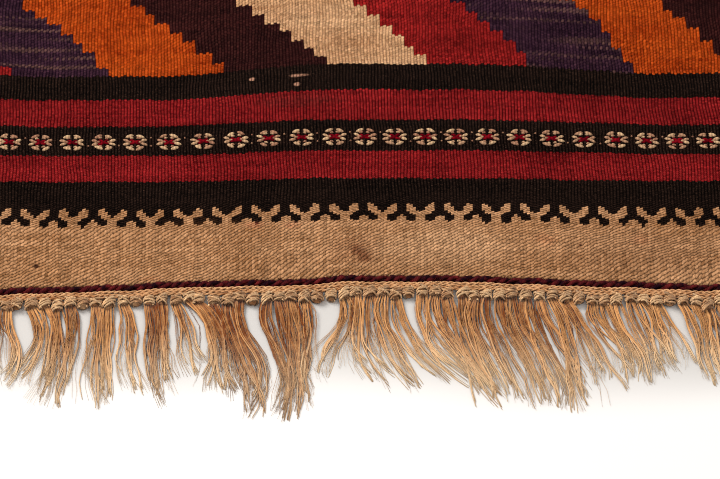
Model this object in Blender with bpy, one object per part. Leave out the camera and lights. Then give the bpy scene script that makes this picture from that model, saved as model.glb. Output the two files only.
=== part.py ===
"""Kilim rug with a dark twined cord and a knotted fringe at both ends.

The weft-faced wool cloth lies flat on the floor. Beyond each of its ends run a dark
twined cord and a narrow strip of pale twining, and from the strip stand the knots,
each with its lock of loose warp ends combed out over the floor. The two ends are one
shape: the far one is the near one turned half a turn, so the rug is even about its
middle. Metres, +Z up, +Y along the warps, origin on the floor under the rug's middle.
"""
import math

import bmesh
import bpy
import numpy as np

MM = 0.001

# Driving dimensions
WARP_PITCH = 1.8 * MM          # five and a half warps to the centimetre
WARP_COUNT = 540
CLOTH_LENGTH = 1500 * MM
CLOTH_THICKNESS = 3.0 * MM
CORD_WIDTH = 3.4 * MM          # two dark yarns twined across the warps
CORD_HEIGHT = 3.4 * MM
TWINING_DEPTH = 7.0 * MM       # rows of pale twining that hold the knots
WARPS_PER_KNOT = 4
KNOT_DEPTH = 6.5 * MM
GAP = 0.3 * MM                 # between neighbouring pieces

# Worked out from them
CLOTH_WIDTH = WARP_COUNT * WARP_PITCH
KNOT_COUNT = WARP_COUNT // WARPS_PER_KNOT
KNOT_PITCH = WARPS_PER_KNOT * WARP_PITCH
CORD_MIDDLE = CLOTH_LENGTH / 2 + GAP + CORD_WIDTH / 2
TWINING_TOP = CLOTH_LENGTH / 2 + CORD_WIDTH + 2 * GAP
TWINING_FOOT = TWINING_TOP + TWINING_DEPTH

# How finely the solids are divided
STATIONS_ACROSS = 48
STATIONS_ALONG = 20
CORD_SIDES = 6

# The rug is hand woven: its wefts bow, its edges sway and it lifts a little in places
END_BOWS = (                   # height, length and middle of each bow of the end line
    {"height": 2.4 * MM, "length": 262 * MM, "middle": -18 * MM},
    {"height": 1.3 * MM, "length": 520 * MM, "middle": 60 * MM},
)
EDGE_SWAYS = (                 # sideways sway of the selvedges along the rug
    {"width": 3.0 * MM, "length": 1250 * MM},
    {"width": 1.2 * MM, "length": 410 * MM},
)
WAIST_SHARE = 0.006            # how much narrower the rug is in the middle
SWELLS = (                     # places where the cloth lifts off the floor
    {"x": -330 * MM, "y": -260 * MM, "half_x": 300 * MM, "half_y": 150 * MM, "rise": 4.5 * MM},
    {"x": 290 * MM, "y": 90 * MM, "half_x": 280 * MM, "half_y": 170 * MM, "rise": 5.0 * MM},
    {"x": -160 * MM, "y": 430 * MM, "half_x": 240 * MM, "half_y": 130 * MM, "rise": 4.0 * MM},
    {"x": 430 * MM, "y": -430 * MM, "half_x": 200 * MM, "half_y": 160 * MM, "rise": 3.5 * MM},
)

# The fringe: how far the locks reach from the knots and how they drift sideways, in mm
FLOW_COLUMNS = ("across", "reach", "drift_third", "drift_two_thirds", "drift_tip")
FLOW_ROWS = (
    (-486, 60, 1.0, 2.0, 3.0),
    (-440, 66, 2.0, 5.0, 7.0),
    (-395, 72, 1.0, 3.0, 2.0),
    (-350, 66, -1.0, -3.0, -5.0),
    (-300, 62, 1.0, 2.0, 5.0),
    (-262, 70, 3.0, 6.0, 8.0),
    (-225, 60, 1.0, 1.0, -1.0),
    (-198, 55, -0.5, -1.5, -3.0),
    (-180, 62, 3.0, 3.5, -1.5),
    (-164, 67, 1.5, 0.5, -2.0),
    (-148, 68, 3.5, 3.5, 6.5),
    (-122, 69, 5.0, 5.0, 10.0),
    (-103, 63, 2.0, 4.5, 9.0),
    (-95, 60, 6.0, 7.0, 8.0),
    (-83, 75, 6.0, 10.0, 13.0),
    (-57, 86, 2.5, 9.5, 11.0),
    (-39, 88, 1.0, 3.5, 3.5),
    (-29, 82, 0.0, -0.5, -0.5),
    (-4, 63, 1.0, -3.0, -6.5),
    (3, 66, 4.0, 7.0, 18.0),
    (31, 69, 4.5, 12.0, 28.0),
    (69, 79, 3.5, 11.0, 26.0),
    (88, 78, 4.0, 13.5, 24.0),
    (103, 75, 5.5, 16.0, 25.0),
    (127, 56, 3.5, 11.0, 18.0),
    (154, 54, 4.5, 10.0, 15.5),
    (184, 57, 6.5, 12.0, 15.0),
    (235, 68, 4.0, 9.0, 9.0),
    (280, 72, 1.0, 2.0, 1.0),
    (330, 64, -2.0, -4.0, -6.0),
    (380, 70, 1.0, 0.0, -3.0),
    (430, 66, 0.0, -3.0, -6.0),
    (486, 58, -1.5, -4.0, -8.0),
)
BARE_KNOTS = (-300, -187, -90, -20, 120, 252, 395)   # knots that have lost their lock, in mm
LOCK_SECTIONS = (              # along a lock: share of its reach, size, and its drift column
    {"share": 0.0, "width": 6.2 * MM, "height": 5.0 * MM, "drift": None},
    {"share": 0.04, "width": 4.2 * MM, "height": 3.4 * MM, "drift": None},
    {"share": 0.33, "width": 4.8 * MM, "height": 3.2 * MM, "drift": "drift_third"},
    {"share": 0.67, "width": 4.2 * MM, "height": 2.6 * MM, "drift": "drift_two_thirds"},
    {"share": 1.0, "width": 2.0 * MM, "height": 1.4 * MM, "drift": "drift_tip"},
)
ROOT_SHARE = 0.78              # of the knot pitch that a lock's root takes up
LOOSEST_FIT = 0.72             # of the room between neighbours that a lock fills
RAGGED_SHARE = 0.035           # how far neighbouring locks differ in length

WEFT_RED = (0.170, 0.010, 0.010, 1.0)
YARN_DARK = (0.028, 0.005, 0.007, 1.0)
YARN_TAN = (0.445, 0.262, 0.150, 1.0)


def end_bow(x):
    """How far the near end's lines shift along the warps at x."""
    return sum(bow["height"] * math.cos(2 * math.pi * (x - bow["middle"]) / bow["length"])
               for bow in END_BOWS)


def edge_sway(y):
    """How far the cloth has crept sideways at y; it turns with the half turn of the rug."""
    return sum(sway["width"] * math.sin(2 * math.pi * y / sway["length"]) for sway in EDGE_SWAYS)


def lie(x, y):
    """Where a point of the evenly woven rug comes to lie."""
    waist = WAIST_SHARE * math.cos(math.pi * y / CLOTH_LENGTH)
    across = x * (1 - max(waist, 0.0)) + edge_sway(max(-CLOTH_LENGTH / 2, min(CLOTH_LENGTH / 2, y)))
    far_share = max(0.0, min(1.0, y / CLOTH_LENGTH + 0.5))
    along = y + (1 - far_share) * end_bow(across) - far_share * end_bow(-across)
    return across, along


def lift(x, y):
    """Height of the cloth's underside: zero but for a few soft swells."""
    rise = 0.0
    for swell in SWELLS:
        distance = math.hypot((x - swell["x"]) / swell["half_x"], (y - swell["y"]) / swell["half_y"])
        if distance < 1:
            rise += swell["rise"] * (0.5 + 0.5 * math.cos(math.pi * distance)) ** 1.5
    return rise


def flow(across, column):
    """One column of the fringe's table, read between its rows."""
    places = [row[0] * MM for row in FLOW_ROWS]
    values = [row[FLOW_COLUMNS.index(column)] * MM for row in FLOW_ROWS]
    return float(np.interp(across, places, values))


def yarn_material(name, colour, roughness):
    """A plain wool material."""
    material = bpy.data.materials.new(name)
    material.use_nodes = True
    shader = material.node_tree.nodes["Principled BSDF"]
    shader.inputs["Base Color"].default_value = colour
    shader.inputs["Roughness"].default_value = roughness
    shader.inputs["Metallic"].default_value = 0.0
    material.diffuse_color = colour
    return material


def mesh_from(bm, name):
    """A mesh with its faces turned outwards."""
    bmesh.ops.recalc_face_normals(bm, faces=bm.faces)
    mesh = bpy.data.meshes.new(name)
    bm.to_mesh(mesh)
    bm.free()
    return mesh


def add_piece(collection, name, mesh, material, turn=0.0):
    """Puts a mesh in the rug under its own name, turned about the rug's middle."""
    if not mesh.materials:
        mesh.materials.append(material)
    piece = bpy.data.objects.new(name, mesh)
    piece.rotation_euler.z = turn
    collection.objects.link(piece)


def cloth_mesh():
    """The woven cloth: a thin slab that follows the wefts' bow and the swells."""
    bm = bmesh.new()
    bmesh.ops.create_grid(bm, x_segments=STATIONS_ACROSS, y_segments=STATIONS_ALONG, size=1)
    for vert in bm.verts:
        across, along = lie(vert.co.x * CLOTH_WIDTH / 2, vert.co.y * CLOTH_LENGTH / 2)
        vert.co = (across, along, lift(across, along))
    upper = bmesh.ops.extrude_face_region(bm, geom=bm.faces[:])["geom"]
    upper_verts = [item for item in upper if isinstance(item, bmesh.types.BMVert)]
    bmesh.ops.translate(bm, verts=upper_verts, vec=(0, 0, CLOTH_THICKNESS))
    return mesh_from(bm, "kilim_cloth")


def cord_mesh():
    """The dark twined cord: a rod along X, flat underneath, bent to the cloth's end."""
    bm = bmesh.new()
    bmesh.ops.create_circle(bm, segments=CORD_SIDES, radius=1, cap_ends=True)
    flat_down = math.cos(math.pi / CORD_SIDES)
    for vert in bm.verts:
        side = vert.co.y * CORD_WIDTH / 2
        height = (vert.co.x / flat_down + 1) * CORD_HEIGHT / 2
        vert.co = (-CLOTH_WIDTH / 2, side, height)
    tip = bm.faces[:][0]
    for station in range(STATIONS_ACROSS):
        tip = bmesh.ops.extrude_discrete_faces(bm, faces=[tip])["faces"][0]
        bmesh.ops.translate(bm, verts=tip.verts[:], vec=(CLOTH_WIDTH / STATIONS_ACROSS, 0, 0))
    bmesh.ops.holes_fill(bm, edges=[edge for edge in bm.edges if edge.is_boundary], sides=CORD_SIDES)
    for vert in bm.verts:
        across, along = lie(vert.co.x, -CORD_MIDDLE)
        vert.co.x = across
        vert.co.y += along
    return mesh_from(bm, "twined_cord")


def strip_outline():
    """The twining strip seen from above: a smooth inner side, and an outer one with
    two corners for each knot."""
    inner = []
    for station in range(STATIONS_ACROSS + 1):
        x = CLOTH_WIDTH * (station / STATIONS_ACROSS - 0.5)
        inner.append(lie(x, -TWINING_TOP))
    outer = []
    for knot in range(KNOT_COUNT):
        middle = knot_place(knot)
        left, right = middle - ROOT_SHARE * KNOT_PITCH / 2, middle + ROOT_SHARE * KNOT_PITCH / 2
        outer.append(lie(left, -TWINING_FOOT))
        outer.append(lie(right, -TWINING_FOOT))
    outer[0] = (inner[0][0], outer[0][1])
    outer[-1] = (inner[-1][0], outer[-1][1])
    return inner + outer[::-1]


def knot_place(knot):
    """Where a knot sits across the evenly woven rug."""
    return (knot + 0.5) * KNOT_PITCH - CLOTH_WIDTH / 2


def is_bare(knot):
    """Whether this knot has lost its lock."""
    return any(abs(knot_place(knot) - bare * MM) < KNOT_PITCH / 2 for bare in BARE_KNOTS)


def lock_middle(knot, section):
    """Where a lock's section lies across the rug."""
    across = lie(knot_place(knot), -TWINING_FOOT)[0]
    return across + (flow(across, section["drift"]) if section["drift"] else 0.0)


def lock_room(knot, section):
    """Room that a lock's section has between its neighbours."""
    middle = lock_middle(knot, section)
    return min(abs(lock_middle(knot + step, section) - middle) for step in (-1, 1))


def lock_reach(knot):
    """How far a lock lies out from its knot; neighbours are a little uneven."""
    across = lie(knot_place(knot), -TWINING_FOOT)[0]
    return flow(across, "reach") * (1 + RAGGED_SHARE * math.sin(knot * knot))


def shape_section(face, middle, width, height, along):
    """Gives the end face of a lock its place and size; it stands upright on the floor."""
    centre = face.calc_center_median()
    corners = [(vert, math.copysign(1, vert.co.x - centre.x), vert.co.z > centre.z)
               for vert in face.verts]
    for vert, side, is_high in corners:
        vert.co = (middle + side * width / 2, along, height if is_high else 0.0)


def fringe_mesh():
    """The twining strip with a knot and a lock drawn out of it every four warps."""
    bm = bmesh.new()
    outline = bm.faces.new([bm.verts.new((x, y, 0)) for x, y in strip_outline()])
    upper = bmesh.ops.extrude_face_region(bm, geom=[outline])["geom"]
    upper_verts = [item for item in upper if isinstance(item, bmesh.types.BMVert)]
    bmesh.ops.translate(bm, verts=upper_verts, vec=(0, 0, CLOTH_THICKNESS))
    bmesh.ops.recalc_face_normals(bm, faces=bm.faces)
    widest_root = (ROOT_SHARE + 0.2) * KNOT_PITCH
    walls = [face for face in bm.faces
             if face.normal.y < -0.9 and face.calc_area() > CLOTH_THICKNESS * KNOT_PITCH * 0.5
             and face.calc_area() < CLOTH_THICKNESS * widest_root]
    walls.sort(key=lambda face: face.calc_center_median().x)
    for knot, wall in enumerate(walls):
        along = wall.calc_center_median().y - KNOT_DEPTH
        reach = lock_reach(knot)
        sections = LOCK_SECTIONS[:1] if is_bare(knot) else LOCK_SECTIONS
        for section in sections:
            wall = bmesh.ops.extrude_discrete_faces(bm, faces=[wall])["faces"][0]
            middle = lock_middle(knot, section)
            width = min(section["width"], LOOSEST_FIT * lock_room(knot, section))
            if section is LOCK_SECTIONS[0]:
                width = section["width"]
            shape_section(wall, middle, width, section["height"],
                          along - section["share"] * reach)
    return mesh_from(bm, "knotted_fringe")


def build_rug():
    """Clears the file and puts the rug's five pieces together."""
    for item in list(bpy.data.objects):
        bpy.data.objects.remove(item, do_unlink=True)
    collection = bpy.data.collections.new("kilim_rug")
    bpy.context.scene.collection.children.link(collection)
    cloth_wool = yarn_material("cloth_wool", WEFT_RED, 0.9)
    cord_wool = yarn_material("cord_wool", YARN_DARK, 0.85)
    fringe_wool = yarn_material("fringe_wool", YARN_TAN, 0.85)
    add_piece(collection, "kilim_cloth", cloth_mesh(), cloth_wool)
    cord = cord_mesh()
    fringe = fringe_mesh()
    for end, turn in (("front", 0.0), ("back", math.pi)):
        add_piece(collection, "twined_cord_" + end, cord, cord_wool, turn)
        add_piece(collection, "knotted_fringe_" + end, fringe, fringe_wool, turn)


build_rug()
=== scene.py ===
# %% [markdown]
# # A kilim rug, seen at its fringed end
#
# A kilim is a flat-woven wool rug: coloured weft yarns are packed so tightly over the warps that
# only they show. This lesson dresses the plain solids of such a rug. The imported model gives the
# frame, every new piece goes where its solid lies, and all of it rides on the one body.

# %% Load the frame
import math

import bmesh
import bpy
import numpy as np
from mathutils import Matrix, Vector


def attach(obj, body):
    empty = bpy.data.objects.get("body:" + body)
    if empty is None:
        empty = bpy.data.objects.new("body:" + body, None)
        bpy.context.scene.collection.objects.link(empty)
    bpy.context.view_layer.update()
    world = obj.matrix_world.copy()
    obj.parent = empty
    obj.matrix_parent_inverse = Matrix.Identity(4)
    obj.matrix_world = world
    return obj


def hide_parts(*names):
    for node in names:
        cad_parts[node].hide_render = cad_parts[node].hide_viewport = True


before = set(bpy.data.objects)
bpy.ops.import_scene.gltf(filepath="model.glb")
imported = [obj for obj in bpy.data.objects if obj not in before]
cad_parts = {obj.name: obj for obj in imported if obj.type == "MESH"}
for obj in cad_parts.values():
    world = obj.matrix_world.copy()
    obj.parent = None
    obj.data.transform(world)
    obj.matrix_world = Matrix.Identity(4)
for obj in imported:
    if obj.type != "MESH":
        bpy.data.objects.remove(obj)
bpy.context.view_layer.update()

rng = np.random.default_rng(1968)
MM = 0.001
print("pieces in the frame:", sorted(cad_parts))

# %% [markdown]
# ## The weave as a map
#
# A weaver counts in warps across and wefts along, so the whole lesson does too. One function
# turns a count of warps and wefts into a place in space. It holds what hand weaving does to a
# rug: wefts that bow, selvedges that sway, a narrower waist, and a few soft swells where the
# cloth lifts off the floor. The pattern, the brocade and the knots all go through it, so they
# stay together wherever the cloth moves.

# %% Sizes of the weave
WARP_COUNT = 540
WARP_PITCH = 1.8 * MM
CLOTH_LENGTH = 1500 * MM
WEFT_COUNT = 1428
WEFT_PITCH = CLOTH_LENGTH / WEFT_COUNT
CLOTH_THICKNESS = 3.0 * MM
GAP = 0.3 * MM
CORD_WIDTH = 3.4 * MM
TWINING_DEPTH = 7.0 * MM
WARPS_PER_KNOT = 4
KNOT_COUNT = WARP_COUNT // WARPS_PER_KNOT
CORD_BELOW = GAP + CORD_WIDTH / 2
TWINING_BELOW = CORD_WIDTH + 2 * GAP
KNOTS_BELOW = TWINING_BELOW + TWINING_DEPTH

# The next five tables are in mm.
END_BOWS = ((2.4, 262, -18), (1.3, 520, 60))   # height, length and middle of each wave of an end
PUCKERS = (                    # middle, half width and height, where an end was beaten harder or softer
    (-211, 60, -1.5), (-105, 45, -0.8), (76, 76, 2.4), (169, 42, -1.9), (215, 50, -3.2),
)
EDGE_SWAYS = ((3.0, 1250), (1.2, 410))         # width and length of each wave of a selvedge
SWELLS = (                     # middle across and along, half sizes across and along, and rise
    (-330, -260, 300, 150, 4.5), (290, 90, 280, 170, 5.0),
    (-160, 430, 240, 130, 4.0), (430, -430, 200, 160, 3.5),
)
FIRST_WEFT_SAG = (             # places across the rug, and how far the first weft sags there
    (-260, 0.0), (-240, 4.6), (-209, 4.0), (-195, 1.8), (-165, 1.5), (-145, 0.6), (-125, -1.0),
    (-108, -1.8), (-95, -0.2), (-75, 0.6), (-55, 1.6), (-41, 2.2), (-28, 0.9), (-8, 0.1), (26, -0.3),
    (60, 0.6), (90, 0.3), (118, 0.8), (145, -0.6), (160, 0.2), (182, 2.0), (215, 0.8), (270, 0.0),
)
SAG_WEFTS = 18                 # the sag is gone after so many wefts
WAIST_SHARE = 0.006            # how much narrower the cloth is half way along
BOW_OF_WEFT = (                # wefts of an end, and how strongly each follows the end's bow
    (0, 1.0), (42, 0.71), (53, 0.71), (72, 0.46), (92, 0.64), (114, 0.87), (135, 1.39), (154, 1.68),
    (300, 0.9), (WEFT_COUNT, 0.0),
)


# %% From warps and wefts to a place
def soft_bump(distance):
    """1 in the middle of a bump, falling softly to 0 at a distance of 1."""
    return 0.5 + 0.5 * np.cos(np.pi * np.clip(distance, -1, 1))


def end_bow(x):
    """How far the near end's wefts shift along the warps at x."""
    bows = sum(height * np.cos(2 * np.pi * (x - middle) / length)
               for height, length, middle in np.array(END_BOWS) * MM)
    puckers = sum(height * soft_bump((x - middle) / half_width)
                  for middle, half_width, height in np.array(PUCKERS) * MM)
    return bows + puckers


def first_sag(x, weft):
    """How far the first wefts of the near end sag towards the fringe at x."""
    spots, sags = zip(*FIRST_WEFT_SAG)
    return np.interp(x / MM, spots, sags) * MM * np.clip(1 - weft / SAG_WEFTS, 0, 1)


def lift(x, y):
    """Height of the cloth's underside over the floor."""
    return sum(rise * soft_bump(np.hypot((x - middle_x) / half_x, (y - middle_y) / half_y)) ** 1.5
               for middle_x, middle_y, half_x, half_y, rise in np.array(SWELLS) * MM)


def place(warp, weft, below=0.0):
    """Where the crossing of a warp and a weft lies: x, y and the height of the underside.
    below reaches past the cloth's near end, to the cord, the twining and the knots."""
    weft = np.asarray(weft, float)
    far_weft = WEFT_COUNT - weft
    across_even = (np.asarray(warp, float) - WARP_COUNT / 2) * WARP_PITCH
    along_even = weft * WEFT_PITCH - CLOTH_LENGTH / 2
    sway = sum(width * np.sin(2 * np.pi * along_even / length)
               for width, length in np.array(EDGE_SWAYS) * MM)
    waist = WAIST_SHARE * np.cos(np.pi * along_even / CLOTH_LENGTH)
    x = across_even * (1 - waist) + sway
    stops, shares = zip(*BOW_OF_WEFT)
    near = np.interp(weft, stops, shares)
    far = np.interp(far_weft, stops, shares)
    sag = first_sag(x, weft) - first_sag(-x, far_weft)
    y = along_even + near * end_bow(x) - far * end_bow(-x) - sag - below
    return x, y, lift(x, y)


corner = place(0, 0)
print("near left corner of the cloth, mm:", [round(float(value) / MM, 1) for value in corner])

# %% [markdown]
# ## Camera, floor and light
#
# The photograph looks down on one end of the rug through a long lens, so that edges hardly
# converge. A lens is chosen by what it has to take in: the width of rug across the frame at a
# given distance. The floor is pale, with a soft shadow painted on it round the rug, and the
# light is a broad soft panel high on the left with a weaker one on the right, as in a product studio.

# %% Camera
VIEW_WIDTH = 402 * MM          # rug width that fills the frame
VIEW_DISTANCE = 3000 * MM
VIEW_ELEVATION = math.radians(48)
VIEW_CENTRE = (-10 * MM, -720 * MM, CLOTH_THICKNESS)

camera_data = bpy.data.cameras.new("end_view")
camera_data.sensor_width = 36.0
camera_data.lens = camera_data.sensor_width * VIEW_DISTANCE / VIEW_WIDTH
camera_data.clip_end = 20.0
camera = bpy.data.objects.new("end_view", camera_data)
camera.location = (VIEW_CENTRE[0],
                   VIEW_CENTRE[1] - VIEW_DISTANCE * math.cos(VIEW_ELEVATION),
                   VIEW_CENTRE[2] + VIEW_DISTANCE * math.sin(VIEW_ELEVATION))
camera.rotation_euler = (math.pi / 2 - VIEW_ELEVATION, 0, 0)
bpy.context.scene.collection.objects.link(camera)
bpy.context.scene.camera = camera
print("lens, mm:", round(camera_data.lens, 1))


# %% Floor and light
def srgb(red, green, blue):
    """A screen colour, 0 to 255, as the linear colour that a shader takes."""
    def linear(value):
        share = value / 255
        return share / 12.92 if share <= 0.04045 else ((share + 0.055) / 1.055) ** 2.4
    return (linear(red), linear(green), linear(blue), 1.0)


PANELS_AIM = (0, -0.6, 0)      # near the middle of the end that is seen


def soft_panel(name, place_at, size, power, colour):
    """A square area light that faces the seen end of the rug."""
    panel = bpy.data.lights.new(name, "AREA")
    panel.size = size
    panel.energy = power
    panel.color = colour
    light = bpy.data.objects.new(name, panel)
    light.location = place_at
    aim = Vector(PANELS_AIM) - Vector(place_at)
    light.rotation_euler = aim.to_track_quat("-Z", "Y").to_euler()
    bpy.context.scene.collection.objects.link(light)
    print(f"{name}: {power} W from a square of {size} m")


soft_panel("key_panel", (-1.3, 0.1, 1.6), 1.1, 40, (1.0, 0.98, 0.95))
soft_panel("fill_panel", (1.8, -2.4, 2.6), 2.4, 26, (1.0, 0.98, 0.96))

world = bpy.data.worlds.new("studio_air")
world.use_nodes = True
air = world.node_tree.nodes["Background"]
air.inputs["Color"].default_value = (1.0, 0.985, 0.97, 1.0)
air.inputs["Strength"].default_value = 0.55
bpy.context.scene.world = world
bpy.context.scene.view_settings.view_transform = "Standard"
bpy.context.scene.cycles.filter_width = 1.0    # sharper than Cycles' own 1.5, for the fine weave

FLOOR_SIZE = 8.0
floor_shape = bmesh.new()
bmesh.ops.create_grid(floor_shape, x_segments=1, y_segments=1, size=FLOOR_SIZE / 2)
floor_mesh = bpy.data.meshes.new("pale_floor")
floor_shape.to_mesh(floor_mesh)
floor_shape.free()
floor = bpy.data.objects.new("pale_floor", floor_mesh)
bpy.context.scene.collection.objects.link(floor)
floor_paint = bpy.data.materials.new("pale_floor")
floor_paint.use_nodes = True
floor_shader = floor_paint.node_tree.nodes["Principled BSDF"]
floor_shader.inputs["Roughness"].default_value = 0.8
floor_mesh.materials.append(floor_paint)

# %% [markdown]
# ## Writing materials as formulas
#
# A woven pattern is arithmetic on counts of warps and wefts. Blender does arithmetic with Math
# nodes, which are long-winded to place by hand. The small class below wraps a node socket, so
# that `warp + weft` adds a Math node and links it. The rest of the lesson can then write a
# pattern the way one would write it on paper.

# %% Sockets that do arithmetic
def plug(tree, value, socket):
    """Links a wire to a socket, or sets a plain value on it."""
    if isinstance(value, Wire):
        tree.links.new(value.socket, socket)
    else:
        socket.default_value = value


class Wire:
    """A node's output that adds, multiplies and compares by adding Math nodes."""

    def __init__(self, tree, socket):
        self.tree = tree
        self.socket = socket

    def maths(self, operation, *others):
        node = self.tree.nodes.new("ShaderNodeMath")
        node.operation = operation
        for value, socket in zip((self, *others), node.inputs):
            plug(self.tree, value, socket)
        return Wire(self.tree, node.outputs[0])

    def __add__(self, other):
        return self.maths("ADD", other)

    def __sub__(self, other):
        return self.maths("SUBTRACT", other)

    def __mul__(self, other):
        return self.maths("MULTIPLY", other)

    def __truediv__(self, other):
        return self.maths("DIVIDE", other)

    def over(self, other):
        return self.maths("GREATER_THAN", other)

    def under(self, other):
        return self.maths("LESS_THAN", other)

    def floor(self):
        return self.maths("FLOOR")

    def cycle(self, period):
        """Counts from 0 up to the period, over and over."""
        return self.maths("FLOORED_MODULO", period)

    def wave(self):
        """A cosine that repeats each time the value grows by one."""
        return (self * (2 * math.pi)).maths("COSINE")

    def hump(self):
        """1 at zero, falling to 0 at half a count on either side."""
        return (self * math.pi).maths("COSINE")

    def absolute(self):
        return self.maths("ABSOLUTE")

    def lower_of(self, other):
        return self.maths("MINIMUM", other)

    def higher_of(self, other):
        return self.maths("MAXIMUM", other)

    def is_number(self, number):
        """1 where a count is the number, else 0."""
        return self.maths("COMPARE", number, 0.5)

    def ease(self, low, high, to_low=0.0, to_high=1.0):
        """Goes smoothly from to_low to to_high as the value goes from low to high."""
        node = self.tree.nodes.new("ShaderNodeMapRange")
        node.interpolation_type = "SMOOTHSTEP"
        for value, socket in zip((self, low, high, to_low, to_high), node.inputs):
            plug(self.tree, value, socket)
        return Wire(self.tree, node.outputs[0])


def joined(x, y, z=0.0):
    """Three values as one vector."""
    node = x.tree.nodes.new("ShaderNodeCombineXYZ")
    for value, socket in zip((x, y, z), node.inputs):
        plug(x.tree, value, socket)
    return Wire(x.tree, node.outputs[0])


def cloudy(vector, scale=1.0, detail=1.0):
    """Smooth noise from about 0.2 to 0.8."""
    node = vector.tree.nodes.new("ShaderNodeTexNoise")
    plug(vector.tree, vector, node.inputs["Vector"])
    node.inputs["Scale"].default_value = scale
    node.inputs["Detail"].default_value = detail
    return Wire(vector.tree, node.outputs["Fac"])


def patchy(x, y, seed=0.0, detail=1.0):
    """Smooth noise over two counts, from about 0.2 to 0.8, in patches about one count wide."""
    return cloudy(joined(x, y, seed), 1.0, detail)


def chance(vector):
    """A random value from 0 to 1 for each separate vector."""
    node = vector.tree.nodes.new("ShaderNodeTexWhiteNoise")
    plug(vector.tree, vector, node.inputs["Vector"])
    return Wire(vector.tree, node.outputs["Value"])


def mixed(share, first, second):
    """Two colours blended by a share from 0 to 1."""
    node = share.tree.nodes.new("ShaderNodeMix")
    node.data_type = "RGBA"
    plug(share.tree, share, node.inputs["Factor"])
    plug(share.tree, first, node.inputs[6])
    plug(share.tree, second, node.inputs[7])
    return Wire(share.tree, node.outputs[2])


def scaled(colour, brightness):
    """A colour made brighter or darker."""
    node = colour.tree.nodes.new("ShaderNodeVectorMath")
    node.operation = "SCALE"
    plug(colour.tree, colour, node.inputs["Vector"])
    plug(colour.tree, brightness, node.inputs["Scale"])
    return Wire(colour.tree, node.outputs["Vector"])


def banded(value, bands, length):
    """Steps of colour: each band is the place where it starts and its colour."""
    node = value.tree.nodes.new("ShaderNodeValToRGB")
    node.color_ramp.interpolation = "CONSTANT"
    stops = node.color_ramp.elements
    while len(stops) < len(bands):
        stops.new(1.0)
    for stop, (start, colour) in zip(stops, bands):
        stop.position = start / length
        stop.color = colour
    plug(value.tree, value / length, node.inputs["Fac"])
    return Wire(value.tree, node.outputs["Color"])


def new_wool(name, roughness=0.85, sheen=0.25):
    """An empty wool material: its node tree and its shader."""
    material = bpy.data.materials.new(name)
    material.use_nodes = True
    shader = material.node_tree.nodes["Principled BSDF"]
    shader.inputs["Roughness"].default_value = roughness
    shader.inputs["Sheen Weight"].default_value = sheen
    shader.inputs["Sheen Roughness"].default_value = 0.5
    shader.inputs["Specular IOR Level"].default_value = 0.02
    return material, material.node_tree, shader


def bump_with(tree, shader, height, distance):
    """Presses a height, 0 to 1, into the surface to a real depth."""
    node = tree.nodes.new("ShaderNodeBump")
    node.inputs["Distance"].default_value = distance
    plug(tree, height, node.inputs["Height"])
    tree.links.new(node.outputs["Normal"], shader.inputs["Normal"])


def along_axes(vector):
    """A vector's x and y, each on its own."""
    split = vector.tree.nodes.new("ShaderNodeSeparateXYZ")
    plug(vector.tree, vector, split.inputs["Vector"])
    return Wire(vector.tree, split.outputs["X"]), Wire(vector.tree, split.outputs["Y"])


def surface_map(tree, name):
    """The two values of a piece's own map."""
    node = tree.nodes.new("ShaderNodeUVMap")
    node.uv_map = name
    return along_axes(Wire(tree, node.outputs["UV"]))


def noted(tree, name):
    """A number noted on each corner of a mesh."""
    node = tree.nodes.new("ShaderNodeAttribute")
    node.attribute_name = name
    return Wire(tree, node.outputs["Fac"])


def object_place(tree):
    """The place of each point on its piece, in metres."""
    node = tree.nodes.new("ShaderNodeTexCoord")
    return Wire(tree, node.outputs["Object"])


# %% Paint of the floor, with a painted shadow round the rug
# The floor is painted greyer close round the rug, a painted soft shadow, and goes to white past the fringe.
FADE_START, FADE_END = 48 * MM, 98 * MM        # past the cloth's edges
FADE_UNEVEN = 30 * MM
floor_place = object_place(floor_paint.node_tree)
floor_x, floor_y = along_axes(floor_place)
past_side = floor_x.absolute() - WARP_COUNT * WARP_PITCH / 2
past_end = floor_y.absolute() - CLOTH_LENGTH / 2
past_rug = past_side.higher_of(past_end) + (cloudy(floor_place, 8) - 0.5) * FADE_UNEVEN
floor_with_painted_shadow = mixed(past_rug.ease(FADE_START, FADE_END), srgb(211, 207, 203), srgb(250, 246, 243))
plug(floor_paint.node_tree, floor_with_painted_shadow, floor_shader.inputs["Base Color"])
print("floor:", FLOOR_SIZE, "m wide, white from", round(FADE_END / MM), "mm past the cloth")


# %% [markdown]
# ## Making many small shapes at once
#
# A rug is thousands of short yarns. Each is a copy of one small template, made with bmesh
# operators, multiplied by an Array modifier and then moved as a block of numbers. A rod template
# has rings of corners, and bending it along a path puts one ring at each point of the path.

# %% Copies of a template
def copies(template, count):
    """One mesh that holds a template shape count times, copy after copy."""
    seed = bpy.data.objects.new("seed", bpy.data.meshes.new("seed"))
    template.to_mesh(seed.data)
    template.free()
    bpy.context.scene.collection.objects.link(seed)
    row = seed.modifiers.new("row", "ARRAY")
    row.use_relative_offset = False
    row.count = count
    finished = seed.evaluated_get(bpy.context.evaluated_depsgraph_get())
    mesh = bpy.data.meshes.new_from_object(finished)
    bpy.data.objects.remove(seed)
    return mesh


def corners_of(mesh):
    """The places of a mesh's corners, one row each."""
    places = np.empty(len(mesh.vertices) * 3)
    mesh.vertices.foreach_get("co", places)
    return places.reshape(-1, 3)


def move_corners(mesh, places):
    """Puts a mesh's corners at new places and shades it smooth."""
    mesh.vertices.foreach_set("co", np.ascontiguousarray(places).ravel())
    mesh.update()
    mesh.shade_smooth()


def note_values(mesh, name, values):
    """Keeps one number for each corner, for a material to read."""
    layer = mesh.attributes.new(name, "FLOAT", "POINT")
    layer.data.foreach_set("value", np.ascontiguousarray(values, dtype=float).ravel())


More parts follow.
